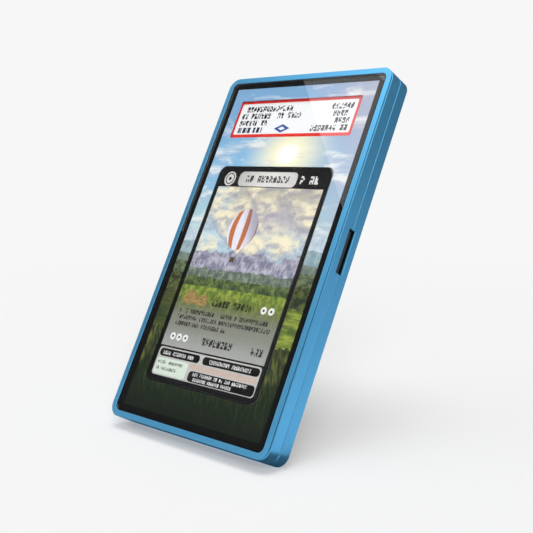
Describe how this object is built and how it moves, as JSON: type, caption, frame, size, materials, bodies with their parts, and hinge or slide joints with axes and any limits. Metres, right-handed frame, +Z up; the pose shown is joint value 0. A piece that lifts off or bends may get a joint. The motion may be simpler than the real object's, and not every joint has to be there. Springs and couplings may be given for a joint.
{
  "type": "trading card display case",
  "caption": "Slim two-part anodised metal frame with clear front and rear windows that closes by magnets round a clear graded-card slab.",
  "frame": {"origin": "middle of the bottom edge, half-way between the front and the rear face", "axes": "+X across the case to the side with the pry slot, +Y from the front face to the rear face, +Z up the case"},
  "size_m": [0.09, 0.0124, 0.1585],
  "materials": {
    "blue_metal_front": "light-blue anodised, fine brushed grain",
    "blue_metal_rear": "light-blue anodised, fine brushed grain",
    "clear_window": "clear polished acrylic",
    "black_print": "black screen print behind the window",
    "printed_film": "picture film, printed",
    "bond_tape": "thin double-sided tape",
    "black_foam": "fine closed-cell foam",
    "magnet_plating": "nickel plated",
    "slab_plastic": "clear moulded plastic",
    "black_plastic": "black moulded plastic",
    "card_stock": "coated printed card",
    "label_paper": "white printed label with a red border"
  },
  "bodies": {
    "rear_half": {"rear_frame": "blue_metal_rear", "rear_window": "clear_window", "rear_border_print": "black_print", "rear_bond_tape": "bond_tape", "rear_liner": "black_foam", "rear_pad": "black_foam", "rear_magnets": "magnet_plating"},
    "front_half": {"front_frame": "blue_metal_front", "front_window": "clear_window", "front_border_print": "black_print", "art_film": "printed_film", "front_bond_tape": "bond_tape", "front_liner": "black_foam", "front_magnets": "magnet_plating"},
    "slab": {"slab_front_shell": "slab_plastic", "slab_rear_shell": "slab_plastic", "card_mat": "black_plastic", "trading_card": "card_stock", "grade_label": "label_paper"}
  },
  "joints": [
    {"name": "cover_pull", "type": "slide", "parent": "rear_half", "child": "front_half", "axis": [0, -1, 0], "range_m": [0, 0.045]},
    {"name": "slab_lift", "type": "slide", "parent": "rear_half", "child": "slab", "axis": [0, -1, 0], "range_m": [0, 0.018]}
  ],
  "couplings": [
    {"joint": "slab_lift", "follows": "cover_pull", "ratio": 0.4}
  ]
}
